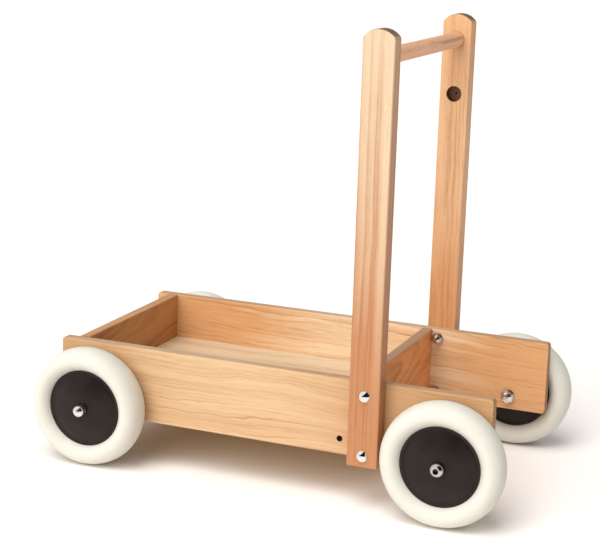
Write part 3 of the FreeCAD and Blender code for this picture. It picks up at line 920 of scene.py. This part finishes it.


# ---- sub-assemblies ----


# On the side boards and the floor panel, fade and ends are painted shade along the grain; each board's share
# of grey on its upper faces is a painted sheen and shade.
TRAY_FINISHES = {
    "side_board_right": Beech(
        "beech_side_right", Grain.ALONG_Y, (0.20, 0.060), (0.02, 0.02), ring=0.0034, wander=0.0075,
        pale=(0.668, 0.470, 0.275), warm=(0.535, 0.305, 0.150), figure=0.52, banding=0.25, blotch=0.28,
        base=0.17, fade=-2.8, ends=24.0, painted_top_grey_share=0.5, end=(0.34, 0.175, 0.085),
        bores=(FREE_HOLE,),
    ),
    "side_board_left": Beech(
        "beech_side_left", Grain.ALONG_Y, (0.10, 0.045), (0.045, 0.01), ring=0.0040, wander=0.0055,
        pale=(0.800, 0.605, 0.390), warm=(0.665, 0.350, 0.160), figure=0.55, banding=0.55, blotch=0.40,
        mottle=1.35, base=-0.18, fade=1.1, ends=37.0, painted_top_grey_share=0.6, end=(0.34, 0.175, 0.085),
        bores=(FREE_HOLE,),
    ),
    # The front and rear boards are darker and redder than the side boards partly as painted shade, since
    # their faces along +Y lie in shade, and partly by their own tone.
    "front_board": Beech(
        "beech_front", Grain.ALONG_X, (0.11, 0.045), (0.05, 0.0), ring=0.0038, wander=0.005,
        pale=(0.610, 0.305, 0.122), warm=(0.485, 0.208, 0.074), figure=0.75, banding=0.55, blotch=0.60,
        deep=(0.240, 0.105, 0.040), mottle=0.8, painted_top_grey_share=0.3,
    ),
    "rear_board": Beech(
        "beech_rear", Grain.ALONG_X, (-0.10, 0.030), (-0.06, 0.0), ring=0.0034, wander=0.004,
        pale=(0.800, 0.325, 0.112), warm=(0.690, 0.250, 0.076), figure=0.70, banding=0.55, blotch=0.55,
        deep=(0.340, 0.120, 0.040), mottle=0.9, painted_top_grey_share=0.85,
    ),
    "floor_board": Beech(
        "birch_ply_floor", Grain.ALONG_Y, (0.05, -0.02), (0.04, 0.0), ring=0.0060, wander=0.010,
        pale=(0.680, 0.548, 0.388), warm=(0.572, 0.394, 0.221), deep=(0.418, 0.235, 0.113), figure=0.45,
        banding=0.50, blotch=0.60, mottle=0.9, fleck=0.25, fade=2.6, roughness=0.5, coat=0.05,
    ),
    "front_board_dowels": Beech("beech_front_dowels", Grain.ALONG_X, (0.02, 0.02)),
    "rear_board_dowels": Beech("beech_rear_dowels", Grain.ALONG_X, (0.02, 0.02)),
}
# On the uprights, flank is painted shade on their faces along Y, and fade makes the foot warmer and darker.
UPRIGHT_FINISHES = {
    "upright_right": Beech(
        "beech_upright_right", Grain.ALONG_Z, (0.035, 0.085), (0.0, 0.0), ring=0.0019, wander=0.0009,
        pale=(0.680, 0.505, 0.335), warm=(0.470, 0.208, 0.094), figure=0.30, banding=0.50, blotch=0.26,
        deep=(0.240, 0.095, 0.036), mottle=0.75, fleck=0.5, base=0.34, fade=3.1, flank=0.5, bores=BAR_SOCKETS,
    ),
    "upright_left": Beech(
        "beech_upright_left", Grain.ALONG_Z, (-0.012, 0.030), (0.012, 0.0), ring=0.0034, wander=0.0036,
        pale=(0.735, 0.490, 0.290), warm=(0.620, 0.295, 0.130), figure=0.40, banding=0.50, blotch=0.65,
        deep=(0.350, 0.150, 0.058), mottle=1.1, fleck=0.7, fade=0.9, flank=0.4, bores=BAR_SOCKETS,
    ),
}


@dataclass
class Tray:
    """The four boards, the floor panel and the hidden dowels, all CAD nodes with a wood finish."""

    finishes: dict[str, Beech] = field(default_factory=TRAY_FINISHES.copy)

    def build(self) -> None:
        """Dresses each board in its own finish, so no two show the same rings."""
        dress_all(self.finishes)


@dataclass
class HandleFrame:
    """The two uprights and the round handle bar between them."""

    finishes: dict[str, Beech] = field(default_factory=UPRIGHT_FINISHES.copy)
    bar_segments: int = 96
    end_round: float = 0.0010
    bar: Beech = Beech(
        "beech_handle", Grain.ALONG_X, (0.018, 0.006), ring=0.0026, wander=0.0022,
        pale=(0.850, 0.500, 0.306), warm=(0.720, 0.390, 0.230), deep=(0.4, 0.196, 0.109),
        figure=0.45, banding=0.45, blotch=0.8, mottle=1.9, fleck=1.2, roughness=0.55, coat=0.0,
    )

    def build(self) -> None:
        """Dresses the uprights and builds the bar."""
        dress_all(self.finishes)
        self.build_bar()

    def build_bar(self) -> None:
        """A round bar with eased ends, turned from a profile along X and slightly uneven to the hand.

        The radius at x swells and shrinks by a few hundredths of a millimetre as two sine waves.
        """
        low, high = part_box("handle_bar")
        half, radius = (high.x - low.x) / 2, (high.z - low.z) / 2
        x = np.linspace(-half + 2 * self.end_round, half - 2 * self.end_round, 60)
        sanding = -0.00003 * (1.0 + 0.5 * np.sin(x * 90.0) + 0.5 * np.sin(x * 37.0 + 1.0))
        run = np.stack([x, radius + sanding], axis=1)
        ends = [
            arc((sign * (half - self.end_round), radius - self.end_round), (self.end_round,) * 2, a, b, 6)
            for sign, a, b in ((-1.0, 180.0, 90.0), (1.0, 90.0, 0.0))
        ]
        profile = path((-half, 0.0), ends[0], run, ends[1], (half, 0.0))
        piece = lathe(profile, self.bar_segments, False).placed(middle("handle_bar"), 1.0)
        bar = piece.mesh("handle_dowel", crease=50.0)
        stand_in(bar, "handle_bar", "frame", self.bar.material(middle("handle_bar")))


@dataclass
class UprightFasteners:
    """The bolts, washers and cap nuts that clamp the uprights to the side boards."""

    bolt: DomeBolt = DomeBolt(
        head_radius=0.00625, head_height=0.0036, shank_radius=0.003, neck_half=0.003, neck_length=0.003,
        length=0.0375,
    )
    washer: Washer = Washer(outer=0.0065, inner=0.0031, thickness=0.0015)
    nut: CapNut = CapNut(flats=0.010, hexagon_height=0.0035, height=0.0075)
    bright: BrightMetal = BrightMetal("bright_nickel_bolt", roughness=0.05, wear=0.16)
    plain: BrightMetal = BrightMetal("zinc_nut_and_washer", tint=(0.66, 0.64, 0.60), roughness=0.20, wear=0.5)

    def build(self) -> None:
        """Builds both sides' upper and lower sets."""
        for side in Side:
            for level in ("upper", "lower"):
                self.build_set(side, level)

    def build_set(self, side: Side, level: str) -> None:
        """One bolt from outside, with its washer and nut inside the side board."""
        end = f"{side.name.lower()}_{level}"
        plans = (
            ("bolt", self.bolt, 1.0, self.bolt.head_height, self.bright, 40.0),
            ("washer", self.washer, -1.0, 0.0, self.plain, 60.0),
            ("nut", self.nut, -1.0, 0.0, self.plain, 28.0),
        )
        for part, shape, facing, inset, finish, crease in plans:
            node = f"upright_{part}_{end}"
            place = seat(node, side.value, inset)
            piece = shape.surface().placed(place, side.value * facing).mesh(f"{part}_{end}", crease)
            stand_in(piece, node, "frame", finish.material(place))


@dataclass
class Wheel:
    """One wheel: tyre, hub, sleeve and the axle's bolt, nut and washers."""

    station: str
    tyre_half_width: float = 0.0185
    tyre_middle: float = 0.0525
    tyre_half_height: float = 0.0125
    bead_radius: float = 0.038
    bead_half_width: float = 0.007
    hub_radius: float = 0.042
    hub_half_width: float = 0.010
    hub_lip: float = 0.0025
    hub_recess: float = 0.0015
    hub_dome: float = 0.075
    boss_radius: float = 0.010
    boss_outer: float = 0.017
    boss_inner: float = 0.019
    bore_radius: float = 0.00505
    segments: int = 144
    bolt: SocketBolt = SocketBolt(
        head_radius=0.0074, rim=0.001, height=0.005, flat=0.0044, dome_radius=0.007, socket_flats=0.005,
        socket_depth=0.0032, shank_radius=0.004, length=0.0595,
    )
    nut: CapNut = CapNut(flats=0.013, hexagon_height=0.0045, height=0.0085)
    washers: tuple[Washer, ...] = tuple(Washer(outer, 0.0041, 0.0015) for outer in (0.008, 0.008, 0.0064))
    rubber: IvoryRubber = IvoryRubber()
    plastic: DarkPlastic = DarkPlastic()
    bright: BrightMetal = BrightMetal(
        "bright_axle_head", tint=(0.56, 0.54, 0.52), roughness=0.18, wear=0.5, well=0.0029
    )
    cap: BrightMetal = BrightMetal("bright_axle_cap", tint=(0.80, 0.79, 0.78), roughness=0.22, wear=0.55)
    plain: BrightMetal = BrightMetal("zinc_axle_washer", tint=(0.66, 0.64, 0.60), roughness=0.24, wear=0.5)

    @property
    def sign(self) -> float:
        """The wheel's side, as the sign of X."""
        return Side[self.station.split("_")[1].upper()].value

    @property
    def centre(self) -> Vector:
        """The wheel's middle, on its axle."""
        return middle(f"tyre_{self.station}")

    def build(self) -> None:
        """Builds the tyre and hub on the body that turns, then the axle's pieces."""
        parts = (
            ("tyre", "ivory_tyre", self.tyre_surface(), 50.0, "tyre_rubber", self.rubber),
            ("hub", "domed_hub", self.hub_surface(), 32.0, "hub_plastic", self.plastic),
        )
        for node, title, surface, crease, slot, finish in parts:
            piece = surface.placed(self.centre, self.sign).mesh(f"{title}_{self.station}", crease)
            body = f"wheel_{self.station}"
            stand_in(piece, f"{node}_{self.station}", body, finish.material(self.centre))
        self.build_axle()

    def tyre_surface(self) -> Surface:
        """An elliptical section cut back to the hub's channel, turned round the axle.

        The ellipse runs from one cut at the hub's radius round the tread to the other. A mould line
        a tenth of a millimetre high goes round the tread's middle.
        """
        drop = (self.tyre_middle - self.hub_radius) / self.tyre_half_height
        start = -math.degrees(math.asin(drop))
        section = arc(
            (0.0, self.tyre_middle), (self.tyre_half_width, self.tyre_half_height), start, 180.0 - start, 97
        )
        line = 0.00010 * np.exp(-((section[:, 0] / 0.0005) ** 2))
        section[:, 1] += np.where(section[:, 1] > self.tyre_middle, line - 0.00010, 0.0)
        bead = path(
            (-self.bead_half_width, self.hub_radius),
            (-self.bead_half_width, self.bead_radius),
            (self.bead_half_width, self.bead_radius),
            (self.bead_half_width, self.hub_radius),
        )
        return lathe(path(section, bead), self.segments, True)

    def hub_surface(self) -> Surface:
        """The hub's turned skin.

        The face is a circle's arc of hub_dome from the lip to the boss, with a shallow rounded
        groove where the dome meets the lip. The back is flat, with a shallow recess round the boss.
        """
        rim, half = self.hub_radius, self.hub_half_width
        back = self.hub_recess - half
        face_start, face_end = (half, rim - self.hub_lip), (self.boss_outer, self.boss_radius)
        face = bulge(face_start, face_end, self.hub_dome, 40)
        groove = 0.00045 * np.exp(-(((face[:, 1] - face_start[1] + 0.0008) / 0.0007) ** 2))
        face[:, 0] -= groove
        outer = path(
            (-half, rim - self.hub_lip), (-half, rim), (-self.bead_half_width, rim),
            (-self.bead_half_width, self.bead_radius), (self.bead_half_width, self.bead_radius),
            (self.bead_half_width, rim), (half, rim),
        )
        boss = path(
            (self.boss_outer, self.boss_radius), (self.boss_outer, self.bore_radius),
            (-self.boss_inner, self.bore_radius), (-self.boss_inner, self.boss_radius),
            (back, self.boss_radius), (back, rim - self.hub_lip),
        )
        return lathe(path(rounded(outer, 0.0006), face, rounded(boss, 0.0006)), self.segments, True)

    def build_axle(self) -> None:
        """The bolt from outside at the rear and from inside at the front, with its nut opposite."""
        is_rear = self.station.startswith("rear")
        head_sign = self.sign if is_rear else -self.sign
        head_seat = self.on_axle(seat(f"axle_bolt_{self.station}", head_sign, self.bolt.height))
        nut_seat = self.on_axle(seat(f"axle_nut_{self.station}", head_sign))
        nut = self.nut if is_rear else replace(self.nut, is_round=True)
        plans = (
            ("bolt", self.bolt, head_seat, head_sign, self.bright),
            ("nut", nut, nut_seat, -head_sign, self.cap),
        )
        for part, shape, place, facing, finish in plans:
            piece = shape.surface().placed(place, facing).mesh(f"axle_{part}_shiny_{self.station}", 28.0)
            stand_in(piece, f"axle_{part}_{self.station}", "frame", finish.material(place))
        self.build_washers()
        dress_all({f"axle_sleeve_{self.station}": self.plain})

    def build_washers(self) -> None:
        """The three rings of the washers' node, as one piece: one inside the side board, one between
        the board and the sleeve, and one outside the hub."""
        node = f"axle_washers_{self.station}"
        sign = self.sign
        _, panel_ring, outer_ring = self.washers
        starts = (
            seat(node, -sign),
            seat(f"axle_sleeve_{self.station}", -sign, -panel_ring.thickness),
            seat(node, sign, outer_ring.thickness),
        )
        rings = [
            washer.surface().placed(self.on_axle(start), sign) for washer, start in zip(self.washers, starts)
        ]
        stack = rings[0].joined(rings[1]).joined(rings[2])
        piece = stack.mesh(f"axle_rings_{self.station}", crease=60.0)
        stand_in(piece, node, "frame", self.plain.material(self.centre))

    def on_axle(self, point: Vector) -> Vector:
        """The axle's point beside that one."""
        return Vector((point.x, self.centre.y, self.centre.z))


# ---- studio ----

CANOPY_SLOPE = -1.05
SKY_SLOPE = 0.32
SKY_STRENGTH = 0.46
SKY_GREYS: Greys = ((0.0, 0.02), (0.10, 0.05), (0.30, 0.70), (0.5, 1.0))
CANOPY_GREYS: Greys = ((0.0, 0.01), (0.72, 0.01), (0.78, 1.0), (1.0, 1.0))
WHITE: Colour = (1.0, 1.0, 1.0)


@dataclass(frozen=True)
class Sun:
    """A soft distant lamp, which mirrors don't show.

    Its fields are its name, the way from the walker to it, its strength, its width in degrees and
    its colour.
    """

    name: str
    towards: tuple[float, float, float]
    strength: float
    spread: float
    colour: Colour = WHITE

    def build(self) -> None:
        """Adds the lamp."""
        lamp = bpy.data.lights.new(self.name, "SUN")
        lamp.energy = self.strength * math.pi
        lamp.angle = math.radians(self.spread)
        lamp.color = self.colour
        holder = bpy.data.objects.new(self.name, lamp)
        holder.rotation_euler = Vector(self.towards).to_track_quat("Z", "Y").to_euler()
        holder.visible_glossy = False
        bpy.context.scene.collection.objects.link(holder)


@dataclass
class Studio:
    """Floor, light and camera."""

    floor_half: float = 60.0
    target: tuple[float, float, float] = (0.0, -0.0151, 0.2040)
    azimuth: float = 111.82
    elevation: float = 13.39
    roll: float = 1.82
    distance: float = 1.7433
    lens: float = 95.04
    sensor: float = 36.0
    paper: StudioFloor = StudioFloor()
    suns: tuple[Sun, ...] = (
        Sun("key", (0.88, -0.24, 0.44), 0.54, 48.0, (1.0, 0.985, 0.965)),
        Sun("overhead", (0.44, -0.10, 1.0), 0.64, 40.0),
    )

    def build(self) -> None:
        """Makes the floor, the sky, the lamps and the camera."""
        self.build_floor()
        self.build_sky()
        for sun in self.suns:
            sun.build()
        self.add_camera()
        scene = bpy.context.scene
        scene.view_settings.view_transform = "Standard"
        scene.view_settings.look = "None"

    def build_floor(self) -> None:
        """A wide sheet at the floor's height."""
        h = self.floor_half
        corners = np.array([[-h, -h, 0.0], [h, -h, 0.0], [h, h, 0.0], [-h, h, 0.0]])
        mesh = bpy.data.meshes.new("studio_floor")
        mesh.from_pydata(corners, [], [(0, 1, 2, 3)])
        floor = bpy.data.objects.new("studio_floor", mesh)
        bpy.context.scene.collection.objects.link(floor)
        dress(floor, self.paper.material())

    def build_sky(self) -> None:
        """Soft light from above that reaches lower on the +X side and darkens to walls elsewhere.

        What stands straight behind the walker is plain white. Mirrors see a hard-edged white canopy
        over black walls, whose edge rises towards the back of the studio: it is white where the
        direction's height less its share of +Y is over a limit.
        """
        world = bpy.data.worlds.new("studio_sky")
        bpy.context.scene.world = world
        g = Graph(world)
        direction = g.split(g.node("TexCoord", output="Generated"))
        lit = g.node("ValToRGB", {0: direction["X"] * SKY_SLOPE + direction["Z"]}, stops=SKY_GREYS)
        roof = g.node("ValToRGB", {0: direction["Y"] * CANOPY_SLOPE + direction["Z"]}, stops=CANOPY_GREYS)
        sky = g.node("Background", {"Color": lit, "Strength": SKY_STRENGTH})
        canopy = g.node("Background", {"Color": roof})
        behind = g.node("Background", {"Color": WHITE})
        ray = g.node("LightPath", output="Is Glossy Ray")
        seen = g.node("MixShader", {0: ray, 1: sky, 2: canopy})
        shown = g.node("MixShader", {0: ray.output("Is Camera Ray"), 1: seen, 2: behind})
        g.node("OutputWorld", {0: shown})

    def add_camera(self) -> None:
        """A long lens, with the small roll of a hand-held camera.

        It stands at distance from the target, at azimuth and elevation; its right and up axes are
        turned by the roll about its line of sight.
        """
        a, e, r = (math.radians(angle) for angle in (self.azimuth, self.elevation, self.roll))
        back = Vector((math.sin(a) * math.cos(e), -math.cos(a) * math.cos(e), math.sin(e)))
        right = (-back).cross(Vector((0.0, 0.0, 1.0))).normalized()
        up = right.cross(-back)
        turned_right = right * math.cos(r) + up * math.sin(r)
        turned_up = up * math.cos(r) - right * math.sin(r)
        lens = bpy.data.cameras.new("camera")
        lens.lens = self.lens
        lens.sensor_width = self.sensor
        lens.sensor_fit = "HORIZONTAL"
        lens.clip_start = 0.05
        lens.clip_end = 500.0
        camera = bpy.data.objects.new("camera", lens)
        pose = Matrix((turned_right, turned_up, back)).transposed().to_4x4()
        pose.translation = Vector(self.target) + back * self.distance
        camera.matrix_world = pose
        bpy.context.scene.collection.objects.link(camera)
        bpy.context.scene.camera = camera


def main() -> None:
    """Builds every sub-assembly in order."""
    logging.basicConfig(level=logging.INFO, format="%(name)s: %(message)s")
    Studio().build()
    Tray().build()
    HandleFrame().build()
    UprightFasteners().build()
    for station in ("front_left", "front_right", "rear_left", "rear_right"):
        Wheel(station).build()
    bpy.context.view_layer.update()


if __name__ == "__main__":
    main()
